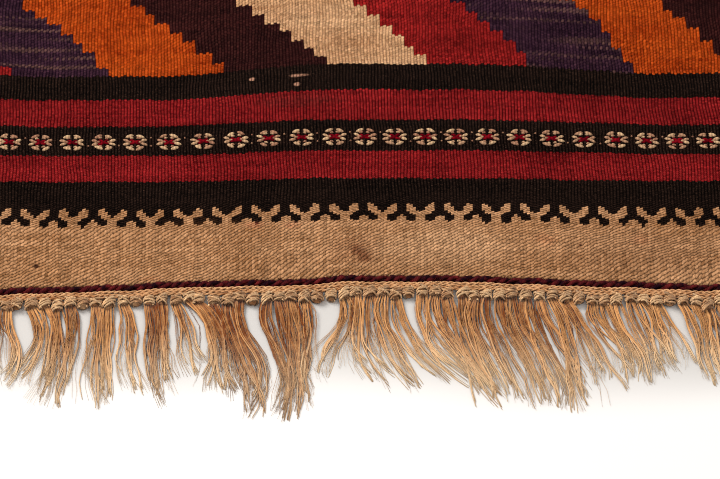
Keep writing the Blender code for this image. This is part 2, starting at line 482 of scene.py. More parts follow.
# %% Rods bent along paths
def rod_template(rings, sides):
    """A rod along Z, one unit long and one in radius, with its own map: share along, share round."""
    rod = bmesh.new()
    bmesh.ops.create_cone(rod, cap_ends=True, segments=sides, radius1=1, radius2=1, depth=1)
    long_edges = [edge for edge in rod.edges if abs(edge.verts[0].co.z - edge.verts[1].co.z) > 0.5]
    bmesh.ops.subdivide_edges(rod, edges=long_edges, cuts=rings - 2)
    yarn_map = rod.loops.layers.uv.new("yarn")
    for face in rod.faces:
        middle = face.calc_center_median()
        facing = math.atan2(middle.y, middle.x)
        for loop in face.loops:
            angle = math.atan2(loop.vert.co.y, loop.vert.co.x)
            turn = round((facing - angle) / (2 * math.pi))
            loop[yarn_map].uv = (loop.vert.co.z + 0.5, angle / (2 * math.pi) + turn)
    return rod


def unit_rows(vectors):
    """Vectors scaled to length one."""
    return vectors / np.linalg.norm(vectors, axis=-1, keepdims=True)


def bent_rods(paths, half_widths, half_heights, sides, outward=(0, 0, 1)):
    """Rods along paths, an array of rods by points by 3, with half a width and height at each point."""
    count, rings = paths.shape[:2]
    mesh = copies(rod_template(rings, sides), count)
    unit = corners_of(mesh).reshape(count, -1, 3)
    ring = np.rint((unit[..., 2] + 0.5) * (rings - 1)).astype(int)
    rod = np.arange(count)[:, None]
    along = unit_rows(np.gradient(paths, axis=1))
    side = unit_rows(np.cross(np.broadcast_to(outward, paths.shape), along))
    rise = np.cross(along, side)
    wide = np.broadcast_to(half_widths, paths.shape[:2])[rod, ring][..., None]
    high = np.broadcast_to(half_heights, paths.shape[:2])[rod, ring][..., None]
    sideways = unit[..., :1] * wide * side[rod, ring]
    upwards = unit[..., 1:2] * high * rise[rod, ring]
    move_corners(mesh, paths[rod, ring] + sideways + upwards)
    return mesh


def note_for_rods(mesh, name, values):
    """Keeps one number for each rod of a mesh of equal rods."""
    note_values(mesh, name, np.repeat(values, len(mesh.vertices) // len(values)))


def note_yarns(mesh, tones, fades):
    """Keeps the tone of each yarn of a mesh, and how far it fades towards its tip."""
    note_for_rods(mesh, "tone", tones)
    note_for_rods(mesh, "fades", fades)


# %% Adding a piece to the rug
def add_piece(name, mesh, material, slot, *stands_for):
    """Shows a mesh as a piece of the rug, which rides on its one body."""
    mesh.name = name
    mesh.materials.append(material)
    piece = bpy.data.objects.new(name, mesh)
    bpy.context.scene.collection.objects.link(piece)
    if stands_for:
        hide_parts(*stands_for)
    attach(piece, "root")
    mesh.calc_loop_triangles()
    print(f"{name}: {len(mesh.loop_triangles)} triangles")
    return piece


# %% [markdown]
# ## The woven cloth
#
# The cloth is one closed slab, 3 mm thick, that lies on the floor. Its grid is made in counts of
# warps and wefts, with a row of corners at each weft where the bow changes, and the counts stay
# on it as a map. Rounding the rim hides that it was cut from a slab: a weft turns back there.

# %% Cloth mesh
RIM_ROUNDING = 1.6 * MM        # how far in from an edge the upper face starts to fall
RIM_THICKNESS = 0.4            # share of the thickness left at the very edge
RIM_LINES = (0.15, 0.45, 1.0)  # shares of the rounding where the grid has a line
ROW_STEP, COLUMN_STEP = 12, 5


def stops_with_rim(stops, last, rim):
    """Grid lines in a count from 0 to last, with three more near each end for the rounded rim."""
    near = {share * rim for share in RIM_LINES}
    return sorted(set(stops) | near | {last - value for value in near})


near_stops = {stop for stop, _ in BOW_OF_WEFT}
bow_stops = near_stops | {WEFT_COUNT - stop for stop in near_stops}
row_stops = stops_with_rim(bow_stops | set(range(0, WEFT_COUNT + 1, ROW_STEP)),
                           WEFT_COUNT, RIM_ROUNDING / WEFT_PITCH)
column_stops = stops_with_rim(range(0, WARP_COUNT + 1, COLUMN_STEP),
                              WARP_COUNT, RIM_ROUNDING / WARP_PITCH)
last_column = len(column_stops) - 1
last_row = len(row_stops) - 1

cloth_shape = bmesh.new()
bmesh.ops.create_grid(cloth_shape, x_segments=last_column, y_segments=last_row, size=0.5)
for vert in cloth_shape.verts:
    column_stop = column_stops[round((vert.co.x + 0.5) * last_column)]
    row_stop = row_stops[round((vert.co.y + 0.5) * last_row)]
    vert.co = (column_stop, row_stop, 0)
weave_map = cloth_shape.loops.layers.uv.new("weave")
for face in cloth_shape.faces:
    for loop in face.loops:
        loop[weave_map].uv = loop.vert.co.xy
grown = bmesh.ops.extrude_face_region(cloth_shape, geom=cloth_shape.faces[:])["geom"]
upper_verts = [part for part in grown if isinstance(part, bmesh.types.BMVert)]
bmesh.ops.translate(cloth_shape, verts=upper_verts, vec=(0, 0, 1))
bmesh.ops.recalc_face_normals(cloth_shape, faces=cloth_shape.faces)
cloth_mesh = bpy.data.meshes.new("kilim_weave")
cloth_shape.to_mesh(cloth_mesh)
cloth_shape.free()

counts = corners_of(cloth_mesh)
cloth_x, cloth_y, underside = place(counts[:, 0], counts[:, 1])
side_inset = np.minimum(counts[:, 0], WARP_COUNT - counts[:, 0]) * WARP_PITCH
end_inset = np.minimum(counts[:, 1], WEFT_COUNT - counts[:, 1]) * WEFT_PITCH
inward = np.clip(np.minimum(side_inset, end_inset) / RIM_ROUNDING, 0, 1)
fullness = RIM_THICKNESS + (1 - RIM_THICKNESS) * np.sqrt(1 - (1 - inward) ** 2)
cloth_z = underside + counts[:, 2] * CLOTH_THICKNESS * fullness
move_corners(cloth_mesh, np.stack((cloth_x, cloth_y, cloth_z), axis=1))
print("cloth grid:", len(column_stops), "by", len(row_stops), "lines")

# %% [markdown]
# ## The wefts: a material counted bead by bead
#
# On a kilim each weft shows as a row of beads, one where it passes over a warp and none where it
# passes under, so the beads of neighbouring warps are half a bead apart. The material finds the
# bead under each point, and gives the whole bead one colour. Edges between colours then come out
# toothed, as woven edges do, and no bead is ever cut in two.

# %% Which bead is it
wefts, wefts_tree, wefts_shader = new_wool("kilim_wefts", 0.95, 0.0)
warp, weft = surface_map(wefts_tree, "weave")
weft = weft + (patchy(warp / 16, weft / 60) - 0.5) * 1.6
weft = weft + (patchy(warp / 3.1, weft / 11, 8) - 0.5) * 1.1
warp = warp + (patchy(warp / 24, weft / 30, 5) - 0.5) * 2.0
rib = (warp + 0.5).floor()
across = warp - rib                                  # -0.5 to 0.5 over one warp

BANDS_START, FIELD_START = 39, 154
BANDS_LENGTH = FIELD_START - BANDS_START
THICK, THIN = -0.13, 0.5       # rows more a weft: the cream yarn is thick, the bands' yarn is thin
STRETCHES = (                  # start, length and extra rows
    (0, BANDS_START, THICK), (BANDS_START, BANDS_LENGTH, THIN),
    (WEFT_COUNT - FIELD_START, BANDS_LENGTH, THIN), (WEFT_COUNT - BANDS_START, BANDS_START, THICK),
)


def slack_at(place_along):
    """How many wefts the weave runs ahead there, from looser and tighter beating."""
    return (patchy(rib / 90, place_along / 45, 21) - 0.5) * 16


def into(place_along, start, length):
    """How far a place lies into a stretch of the rug."""
    return (place_along - start).higher_of(0).lower_of(length)


beaten = weft + slack_at(weft + slack_at(weft))
rows = beaten
for start, length, more in STRETCHES:
    rows = rows + into(beaten, start, length) * more
from_end = weft.lower_of(weft * -1 + WEFT_COUNT)
plainness = from_end.ease(50, 62, 1, 0)              # 1 on the cream end band and its hooks
in_field = from_end.ease(150, 160)
slanting = patchy(warp / 26, weft / 24, 12).ease(0.42, 0.6)
lean = across * (plainness * 0.44 + slanting * in_field * 0.3 + 0.02)
rib_slip = (chance(joined(rib, 17)) - 0.5) * (plainness * 0.26 + 0.06)
loose_slip = (patchy(warp / 8, weft / 7, 61) - 0.5) * plainness * 0.9
bead = (rows + rib + 1) / 2 - lean + (rib_slip + loose_slip)
bead_number = bead.floor()
along = bead - bead_number - 0.5                     # -0.5 to 0.5 along one bead
row = bead_number * 2 - rib                          # the row of weft that makes this bead
placed = row
rows_added = 0
for start, length, more in STRETCHES:
    placed = placed - into(row, start + rows_added, length * (1 + more)) * (more / (1 + more))
    rows_added += length * more
pick = placed - slack_at(placed)                     # its place, counted in wefts of the usual size
pick_from_end = pick.lower_of(pick * -1 + WEFT_COUNT)


# %% Stepped stripes of the field
# Each chart gives one edge between two stripes: its number, the warp where it starts at the border,
# and the wefts where it steps aside, with the warp that it steps to.
STRIPE_KINDS = 5
STRIPE_WARPS = 32
FIRST_EDGE_WARP = 29
STEP_WARPS = 4
STEP_WEFTS = 7.4
CHART_END = 208
EDGE_CHARTS = (
    (4, 154, ((160, 150), (168, 146), (175, 142), (183, 138), (190, 134), (198, 130), (205, 126))),
    (5, 185, ((160, 181), (172, 177), (179, 174), (186, 170), (193, 165), (198, 161), (204, 157))),
    (6, 222, ((161, 218), (170, 213), (179, 209), (186, 205), (193, 200), (200, 197), (207, 192))),
    (7, 255, ((160, 251), (167, 248), (173, 244), (181, 240), (188, 235), (195, 231), (203, 226))),
    (8, 287, ((161, 283), (167, 280), (176, 276), (183, 272), (192, 268), (199, 264), (206, 260))),
    (9, 319, ((164, 316), (173, 312), (180, 308), (187, 304), (194, 300), (202, 295))),
    (10, 353, ((162, 350), (172, 347), (183, 344), (193, 340), (201, 336), (207, 331))),
    (11, 381, ((168, 379), (178, 375), (188, 371), (196, 367), (202, 364))),
)


def grey(share):
    """A number from 0 to 1 as a colour, for a ramp to hold."""
    return (share, share, share, 1)


def edge_from_chart(start_warp, stepped):
    """The warp where a charted edge lies at each weft."""
    stops = [(0, grey(0))]
    for weft_stop, warp_stop in stepped:
        stops.append((weft_stop - FIELD_START, grey((start_warp - warp_stop) / STRIPE_WARPS)))
    aside = banded(pick - (FIELD_START - 0.5), stops, CHART_END - FIELD_START)
    return aside * -STRIPE_WARPS + start_warp


steps = ((pick - FIELD_START) / STEP_WEFTS).floor()
edge = ((rib + steps * STEP_WARPS - FIRST_EDGE_WARP) / STRIPE_WARPS + 0.5).floor()
late = chance(joined(edge, 7))
own_steps = ((pick - FIELD_START) / STEP_WEFTS + late).floor()
edge_warp = edge * STRIPE_WARPS + FIRST_EDGE_WARP - own_steps * STEP_WARPS
further = ((pick - CHART_END) / STEP_WEFTS + late).floor().higher_of(0)
for number, start_warp, stepped in EDGE_CHARTS:
    charted = edge_from_chart(start_warp, stepped) - further * STEP_WARPS
    edge_warp = edge_warp + (charted - edge_warp) * edge.is_number(number)
stripe = edge - rib.under(edge_warp)
stripe_kind = stripe.cycle(STRIPE_KINDS)
print("charted edges:", len(EDGE_CHARTS))

# %% Hooked edge between the cream end and the black band
# Counted from a hook's middle warp: the highest cream weft of the ground, then the lowest and
# highest weft of the hook's arms.
HOOK_WEFT = 42
HOOK_REPEAT = 12
NO_ARM = 99
HOOK_GROUND = (4, 5, -2, -3, -2, 1, 2)
HOOK_ARM_LOW = (NO_ARM, NO_ARM, 3, 4, 5.6, NO_ARM, NO_ARM)
HOOK_ARM_HIGH = (-NO_ARM, -NO_ARM, 8, 10, 10, -NO_ARM, -NO_ARM)
CHART_RANGE = 100              # a chart's numbers lie within this of zero


def read_chart(chart, count):
    """The number that a chart gives for a count."""
    stops = [(place_in_chart, grey((value + CHART_RANGE) / (2 * CHART_RANGE)))
             for place_in_chart, value in enumerate(chart)]
    return banded(count + 0.5, stops, len(chart)) * (2 * CHART_RANGE) - CHART_RANGE


from_hook = (rib.cycle(HOOK_REPEAT) - HOOK_REPEAT / 2).absolute()
hook_height = pick_from_end - HOOK_WEFT
on_ground = hook_height.under(read_chart(HOOK_GROUND, from_hook) + 0.5)
over_low = hook_height.over(read_chart(HOOK_ARM_LOW, from_hook) - 0.5)
under_high = hook_height.under(read_chart(HOOK_ARM_HIGH, from_hook) + 0.5)
cream_here = on_ground.higher_of(over_low * under_high)
print("hooks of one end:", WARP_COUNT // HOOK_REPEAT)


# %% Dyes of the bands and the stripes
CREAM = (srgb(134, 90, 55), srgb(182, 136, 98))
BLACK = (srgb(1, 1, 1), srgb(21, 12, 9))
RED = (srgb(80, 4, 8), srgb(129, 22, 25))
PURPLE = (srgb(17, 4, 17), srgb(49, 26, 40))
ORANGE = (srgb(123, 33, 2), srgb(166, 66, 15))
BROWN = (srgb(22, 4, 6), srgb(47, 16, 16))
PALE_STRIPE = (srgb(158, 112, 77), srgb(190, 149, 111))
FIELD_RED = (srgb(88, 8, 9), srgb(138, 24, 24))
# A pale lint colour, also used for the painted sheen and glints on the beads.
LINT_AND_SHEEN = srgb(176, 128, 104)
STRIPE_ORDER = (ORANGE, BROWN, PALE_STRIPE, FIELD_RED, PURPLE)
BANDS = ((0, CREAM), (BANDS_START, BLACK), (72, RED), (92, BLACK), (114, RED), (135, BLACK))
in_stripes = pick_from_end.over(FIELD_START - 0.5)


def dyed(lightness):
    """The colour of each bead, in the darker (0) or the lighter (1) tone of its dye."""
    stripe_dyes = [(kind, dye[lightness]) for kind, dye in enumerate(STRIPE_ORDER)]
    stripes = banded(stripe_kind + 0.5, stripe_dyes, STRIPE_KINDS)
    band_dyes = [(start, dye[lightness]) for start, dye in BANDS]
    bands = banded(pick_from_end + 0.5, band_dyes, FIELD_START)
    with_hooks = mixed(cream_here, bands, CREAM[lightness])
    return mixed(in_stripes, with_hooks, stripes)


print("bands of one end:", [start for start, _ in BANDS])

# %% Tone of each bead
streaks = patchy(warp / 60, pick / 1.6, 2)
patches = patchy(warp / 22, weft / 30, 9, 3)
bead_chance = chance(joined(rib, bead_number))
clouds = patchy(warp / 70, weft / 16, 61)
tone = streaks * 1.2 + patches * 1.1 + bead_chance * 0.3 + clouds * 0.8 - 1.2
dye = mixed(tone, dyed(0), dyed(1))
in_purple = stripe_kind.over(STRIPE_ORDER.index(PURPLE) - 0.5)
light_rows = patchy(rib / 60, pick / 3.6, 51).ease(0.52, 0.68) * in_purple
dye = mixed(light_rows * in_stripes * 0.13, dye, LINT_AND_SHEEN)

# %% Stains, tints and stray flecks
SPOTS = (                      # warp, weft, half sizes in warps and wefts, strength and colour
    (262.4, 18.6, 2.6, 4.6, 0.8, srgb(80, 36, 20)), (264.8, 13.6, 2.4, 4.6, 0.8, srgb(84, 38, 20)),
    (261.6, 19.0, 9.0, 11.0, 0.33, srgb(110, 62, 36)),
    (288.0, 20.0, 24.0, 16.0, 0.28, srgb(210, 168, 128)), (350.0, 20.0, 28.0, 18.0, 0.26, srgb(112, 76, 52)),
    (230.4, 38.5, 3.5, 2.5, 0.25, srgb(170, 84, 60)), (241.9, 37.5, 3.0, 2.5, 0.2, srgb(170, 84, 60)),
    (320.4, 27.3, 4.0, 5.0, 0.15, srgb(170, 84, 50)), (349.9, 29.5, 3.5, 5.0, 0.14, srgb(170, 84, 50)),
    (198.2, 2.9, 4.0, 2.5, 0.16, srgb(150, 70, 30)), (214.0, 33.0, 22.0, 12.0, 0.14, srgb(120, 74, 40)),
    (162.5, 12.9, 1.0, 1.6, 0.9, srgb(40, 16, 12)), (331.5, 24.7, 0.8, 1.4, 0.8, srgb(60, 24, 16)),
    (244.6, 139.9, 0.9, 1.5, 0.8, LINT_AND_SHEEN), (230.6, 146.1, 0.9, 1.5, 0.8, LINT_AND_SHEEN),
    (245.0, 146.0, 3.4, 1.2, 0.7, LINT_AND_SHEEN), (245.0, 128.0, 16.0, 5.0, 0.3, srgb(70, 30, 26)),
    (300.0, 12.0, 60.0, 14.0, 0.16, srgb(120, 76, 44)),
)
ragged = (patchy(warp / 2.4, weft / 3.0, 71, 2) - 0.5) * 1.4
for spot_warp, spot_weft, half_warps, half_wefts, strength, tint in SPOTS:
    aside = (warp - spot_warp) / half_warps
    along_rug = (weft - spot_weft) / half_wefts
    distance = (aside * aside + along_rug * along_rug).maths("SQRT") + ragged
    dye = mixed(distance.ease(1.25, 0.35) * strength, dye, tint)
print("stains, tints and flecks:", len(SPOTS))

# %% Relief of the beads, painted shade between them, and painted sheen and glints on them
bead_share = plainness * 0.44 + in_field * 0.12 + 0.3
height = along.hump() * bead_share + across.hump() * (bead_share * -1 + 1)
pale_stripe = stripe_kind.is_number(STRIPE_ORDER.index(PALE_STRIPE)) * in_stripes
in_bands = from_end.ease(60, 72) * (in_field * -1 + 1)
# shade darkens the dye where the beads and ribs dip: painted shade in the crevices between them.
shade = height.ease(0.12, 0.85, pale_stripe * 0.15 - in_bands * 0.1 + 0.3, in_bands * 0.04 + 1.16)
rib_chance = chance(joined(rib, 3))
worn = patchy(warp / 2.3, weft / 4.5, 4, 2)
row_shade = patchy(warp / 14, pick / 1.9, 33)
fuzz = patchy(warp * 1.6, weft / 1.1, 44, 2)
uneven = bead_chance * 0.3 + rib_chance * 0.22 + worn * 0.6 + row_shade * 0.5 + fuzz * 1.8 - 0.68
# A pale share on the crowns of the beads, with pale fuzz: painted sheen.
painted_sheen_share = (fuzz + bead_chance * 0.3 - 0.3).higher_of(0) * height.ease(0.4, 1.0) * 0.05
# Specks that brighten the dye and pale it towards lint on the crowns of the beads: painted glints.
glint_speckle = patchy(warp * 2.1, weft / 0.6, 81).ease(0.58, 0.76)
glints = glint_speckle * height.ease(0.3, 0.9) * (in_bands * 0.25 + 0.3)
with_painted_sheen = mixed(painted_sheen_share, scaled(dye, shade * uneven), LINT_AND_SHEEN)
with_glints = mixed(glints, with_painted_sheen, scaled(dye, 3.0))
plug(wefts_tree, mixed(glints * 0.3, with_glints, LINT_AND_SHEEN), wefts_shader.inputs["Base Color"])
bump_with(wefts_tree, wefts_shader, height, 0.4 * MM)

cloth = add_piece("kilim_weave", cloth_mesh, wefts, "cloth_wool", "kilim_cloth")

# %% [markdown]
# ## Rosettes
#
# The rosettes are brocade: short floats of an extra yarn, laid over the weave bead by bead. They
# stand a little proud, so each stitch is a small rounded solid. A chart gives the stitches of one
# flower, counted in warps and wefts from its middle, and every flower of both ends repeats it.

# %% Rosette stitches
ROSETTE_WEFT = 101.5
ROSETTE_FIRST_WARP = 5
ROSETTE_REPEAT = 10
ROSETTE_COUNT = WARP_COUNT // ROSETTE_REPEAT
ROSETTE_DRIFT = (              # middle warps, and how many warps aside the flower there sits
    (155, -1.8), (195, -2.0), (215, -0.6), (255, 1.0), (275, 0.0), (300, -0.8), (345, -0.1), (375, -1.1),
)
UNDYED, ROSE, MADDER = 0.0, 0.35, 1.0
PETALS = (                     # warps and wefts from the middle, length and width, angle from the wefts, dye
    (1.65, 4.5, 5.2 * MM, 2.3 * MM, -26, UNDYED),
    (1.0, 3.2, 2.4 * MM, 1.3 * MM, -12, UNDYED),
    (2.8, 1.3, 4.1 * MM, 2.0 * MM, 21, UNDYED),
    (1.7, 0.0, 2.6 * MM, 1.6 * MM, 0, ROSE),
    (0.9, 1.0, 3.2 * MM, 1.6 * MM, 16, MADDER),
    (0.0, 0.0, 3.8 * MM, 2.3 * MM, 0, MADDER),
)
PETAL_RISE = 0.75 * MM

stitches = set()
for aside, up, length, width, angle, dye_share in PETALS:
    for left_right in (1, -1):            # each petal stands for its mirror images too
        for up_down in (1, -1):
            stitches.add((left_right * aside, up_down * up, length / 2, width / 2,
                          left_right * up_down * angle, dye_share))
for up_down in (1, -1):                   # the small floats between one flower and the next
    stitches.add((ROSETTE_REPEAT / 2, up_down * 3.0, 0.6 * MM, 0.45 * MM, 0, ROSE))
stitches = np.array(sorted(stitches))
print("stitches in a rosette:", len(stitches))


def stitch_mesh(warps, wefts_up, half_long, half_wide, angles, turn):
    """Rounded stitches on the cloth of one end, at counts of warps and wefts."""
    template = bmesh.new()
    bmesh.ops.create_uvsphere(template, u_segments=8, v_segments=4, radius=1)
    mesh = copies(template, len(warps))
    unit = corners_of(mesh).reshape(len(warps), -1, 3)
    if turn < 0:
        warps, wefts_up = WARP_COUNT - warps, WEFT_COUNT - wefts_up
    x, y, below = place(warps, wefts_up)
    middle = np.stack((x, y, below + CLOTH_THICKNESS), axis=-1)
    slant = np.radians(angles)[:, None]
    length = unit[..., 0] * half_long[:, None]
    width = unit[..., 1] * half_wide[:, None]
    shape = np.stack((length * np.cos(slant) - width * np.sin(slant),
                      length * np.sin(slant) + width * np.cos(slant),
                      unit[..., 2] * PETAL_RISE), axis=-1)
    move_corners(mesh, middle[:, None, :] + shape)
    return mesh


# %% Rosettes of both ends
ENDS = (("front", 1), ("back", -1))       # the back end is the front one, turned half round


def brocade_wool():
    """Undyed or madder wool, by the dye noted on each stitch."""
    wool, tree, shader = new_wool("brocade_wool", 0.9, 0.0)
    dye_share = noted(tree, "dye")
    tone = noted(tree, "tone")
    here = object_place(tree)
    pale = mixed(tone, srgb(170, 120, 94), srgb(220, 182, 140))
    red = mixed(tone, srgb(92, 4, 16), srgb(140, 12, 26))
    here_x, _ = along_axes(here)
    # Lighter over each warp and darker between warps: painted shade of the ridges under the floats, with a
    # random tone.
    ridge_shade_and_tone = (here_x / WARP_PITCH).wave() * 0.2 + cloudy(here, 1500, 2) * 0.8 + 0.4
    plug(tree, scaled(mixed(dye_share, pale, red), ridge_shade_and_tone), shader.inputs["Base Color"])
    bump_with(tree, shader, cloudy(here, 2600, 2), 0.15 * MM)
    return wool


SMALL_FLOATS_KEPT = 0.55       # share of the places between flowers that have one
WARP_SLIP, WEFT_SLIP, ANGLE_SLIP = 0.09, 0.18, 5     # how unevenly the stitches lie; the angle in degrees
brocade = brocade_wool()
for end, turn in ENDS:
    flower = np.repeat(np.arange(ROSETTE_COUNT), len(stitches))
    chart = np.tile(stitches, (ROSETTE_COUNT, 1))
    between = chart[:, 0] == ROSETTE_REPEAT / 2
    chosen = ~between | (rng.uniform(0, 1, len(chart)) < SMALL_FLOATS_KEPT)
    flower, chart = flower[chosen], chart[chosen]
    count = len(chart)
    middle_warps = ROSETTE_FIRST_WARP + flower * ROSETTE_REPEAT
    drift = np.interp(middle_warps, *zip(*ROSETTE_DRIFT))
    warps = middle_warps + drift + chart[:, 0] + rng.normal(0, WARP_SLIP, count)
    wefts_up = ROSETTE_WEFT + chart[:, 1] + rng.normal(0, WEFT_SLIP, count)
    uneven = rng.uniform(0.88, 1.14, (2, count))
    rosettes = stitch_mesh(warps, wefts_up, chart[:, 2] * uneven[0], chart[:, 3] * uneven[1],
                           chart[:, 4] + rng.normal(0, ANGLE_SLIP, count), turn)
    note_for_rods(rosettes, "dye", chart[:, 5])
    note_for_rods(rosettes, "tone", rng.uniform(0, 1, count))
    add_piece(f"rosettes_{end}", rosettes, brocade, "cloth_wool")

# %% [markdown]
# ## Twined cord, pale twining and knots
#
# Past the last weft a dark cord of two twisted yarns holds the wefts in. Below it three rows of
# pale yarn are twined round the warps, and then the warps are tied off in groups of four. Each
# of these is yarn wound round something, so each is a rod bent along a screw line.

# %% Screw lines
def end_place(warps, below, turn, height=0.0):
    """Places just past an end of the cloth, below its last weft, as rows of x, y, z."""
    x, y, _ = place(warps, 0.0, below)
    return np.stack(np.broadcast_arrays(x * turn, y * turn, height), axis=-1)


def twisted_pair(below, middle_height, yarn_radius, repeat_warps, rings_a_turn, sides, turn, shift=0.0):
    """Two yarns twisted round each other, from one selvedge to the other."""
    turns = WARP_COUNT / repeat_warps
    share = np.linspace(0, 1, int(turns * rings_a_turn) + 1)
    uneven = 0.6 * np.sin(share * 61) + 0.5 * np.sin(share * 143 + 1)
    uneven = uneven + 0.4 * np.sin(share * 397 + shift * 9)
    slip = 0.3 * MM * (np.sin(share * 89 + shift * 5) + np.sin(share * 233))
    paths = []
    for phase in (0, 0.5):
        angle = 2 * math.pi * (share * turns + phase + shift) + uneven
        wander = below + slip + np.cos(angle) * yarn_radius * 0.8
        height = middle_height + np.sin(angle) * yarn_radius * 0.8
        paths.append(end_place(share * WARP_COUNT, wander, turn, height))
    swell = 1 + 0.1 * np.sin(share * 173 + shift * 3) + 0.09 * np.sin(share * 611)
    swell = swell + rng.normal(0, 0.05, len(share))
    return bent_rods(np.array(paths), yarn_radius * swell, yarn_radius * 0.95 * swell, sides)


def merged(meshes):
    """Several meshes as one."""
    whole = bmesh.new()
    for mesh in meshes:
        whole.from_mesh(mesh)
        bpy.data.meshes.remove(mesh)
    joined_mesh = bpy.data.meshes.new("merged")
    whole.to_mesh(joined_mesh)
    whole.free()
    joined_mesh.shade_smooth()
    return joined_mesh


# %% Yarn material
def spun_wool(name, dark, light, tip, plies_a_unit, edge_shade, depth, mottle=0.9, sheen=0.2):
    """Spun yarn: slanting plies from the yarn's own map, and a tone noted on each yarn."""
    wool, tree, shader = new_wool(name, 0.85, sheen)
    share, round_share = surface_map(tree, "yarn")
    here = object_place(tree)
    tone = noted(tree, "tone") + (cloudy(here, 260, 2) - 0.5) * mottle
    # ply darkens the colour in the grooves between the plies: painted shade.
    ply = (share * plies_a_unit + round_share * 2).wave() * 0.5 + 0.5
    # The yarn's top is lighter and its sides and underside darker, down to edge_shade: painted light and
    # shade.
    painted_top_light = ((round_share - 0.25).wave() * 0.5 + 0.5).ease(0.25, 1.0, edge_shade, 1.2)
    fibres = cloudy(here, 2200, 2)
    colour = mixed(tone, dark, light)
    colour = mixed(share.ease(0.25, 1.0) * noted(tree, "fades"), colour, tip)
    plug(tree, scaled(colour, (ply * 0.35 + fibres * 0.5 + 0.6) * painted_top_light), shader.inputs["Base Color"])
    bump_with(tree, shader, ply * 0.7 + fibres * 0.3, depth)
    return wool


# %% Dark cord
CORD_YARN_RADIUS = 1.3 * MM
CORD_HEIGHT = 2.2 * MM         # of its middle over the floor
CORD_REPEAT_WARPS = 6
CORD_HAIRS = 700
cord_wool = spun_wool("cord_wool", srgb(32, 12, 20), srgb(112, 36, 35), srgb(138, 70, 54),
                      plies_a_unit=1500, edge_shade=0.35, depth=0.5 * MM, mottle=2.6, sheen=0.0)


def cord_hairs(turn):
    """Fine hairs that stand off the cord."""
    warps = rng.uniform(0, WARP_COUNT, CORD_HAIRS)[:, None]
    share = np.linspace(0, 1, 4)[None, :]
    way = rng.choice((-1, 1), CORD_HAIRS)[:, None]
    reach = rng.uniform(1.4, 3.6, CORD_HAIRS)[:, None] * MM
    leant = warps + share ** 1.5 * rng.normal(0, 1.2, CORD_HAIRS)[:, None]
    arch = 1 - (2 * share - 1) ** 2
    height = CORD_HEIGHT + arch * rng.uniform(1.0, 2.2, CORD_HAIRS)[:, None] * MM
    paths = end_place(leant, CORD_BELOW + way * share * reach, turn, height)
    half_width = np.linspace(0.26, 0.1, 4) * MM
    return bent_rods(paths, half_width, half_width, 3)


for end, turn in ENDS:
    twist = twisted_pair(CORD_BELOW, CORD_HEIGHT, CORD_YARN_RADIUS, CORD_REPEAT_WARPS,
                         rings_a_turn=12, sides=6, turn=turn)
    note_yarns(twist, (0.15, 0.45), (0.0, 0.0))
    hairs = cord_hairs(turn)
    note_yarns(hairs, rng.uniform(0.3, 1.0, CORD_HAIRS), rng.uniform(0.0, 1.0, CORD_HAIRS))
    cord_mesh = merged([twist, hairs])
    add_piece(f"dark_cord_{end}", cord_mesh, cord_wool, "cord_wool", f"twined_cord_{end}")

# %% Pale twining
TWINING_ROWS = (0.9 * MM, 2.7 * MM, 4.5 * MM)   # how far below the cord's edge each row lies
TWINING_YARN_RADIUS = 0.62 * MM
TWINING_HEIGHT = 2.3 * MM
pale_wool = spun_wool("fringe_wool", srgb(172, 116, 72), srgb(250, 204, 152), srgb(214, 186, 158),
                      plies_a_unit=1400, edge_shade=0.42, depth=0.2 * MM, mottle=1.2)
twining_meshes = {}
for end, turn in ENDS:
    twined = []
    for number, down in enumerate(TWINING_ROWS):
        pair = twisted_pair(TWINING_BELOW + down, TWINING_HEIGHT, TWINING_YARN_RADIUS, WARPS_PER_KNOT,
                            rings_a_turn=7, sides=4, turn=turn, shift=number * 0.3)
        note_yarns(pair, rng.uniform(0.0, 0.5, 2), (0.0, 0.0))
        twined.append(pair)
    twining_meshes[end] = merged(twined)
print("rows of twining at each end:", len(TWINING_ROWS))

# %% Knots
KNOT_YARN_RADIUS = 0.72 * MM
KNOT_HEIGHT = 2.5 * MM         # of its middle over the floor
KNOT_RINGS_A_TURN = 9
KNOT_WRAPS = ((3.6, 1, 1.0), (1.2, -1, 1.1))   # turns of yarn, the way they wind, and their size
CORE_ALONG = np.array((4.4, 2.4, -1.8, -3.2)) * MM
CORE_HALF_WIDTHS = np.array((3.8, 3.7, 3.4, 1.4)) * MM
CORE_HALF_HEIGHTS = np.array((1.0, 1.2, 1.2, 0.5)) * MM
CORE_DROP = 1.1 * MM           # how far a core's middle lies under its knot's
# The core's tone is lower, so the warps between and under the knots show dark: painted shade in the gaps.
KNOT_TONES_WITH_CORE_SHADE = (0.45, 0.5, -0.1)                 # of both wraps and the core
knot_spots = {}


def knot_middles(turn):
    """Where the knots of one end sit, with the unevenness of hand tying."""
    warps = (np.arange(KNOT_COUNT) + 0.5) * WARPS_PER_KNOT + rng.normal(0, 0.25, KNOT_COUNT)
    below = KNOTS_BELOW + 1.6 * MM + rng.normal(0, 0.9, KNOT_COUNT).clip(-1.2, 2.4) * MM
    return end_place(warps, below, turn, KNOT_HEIGHT)


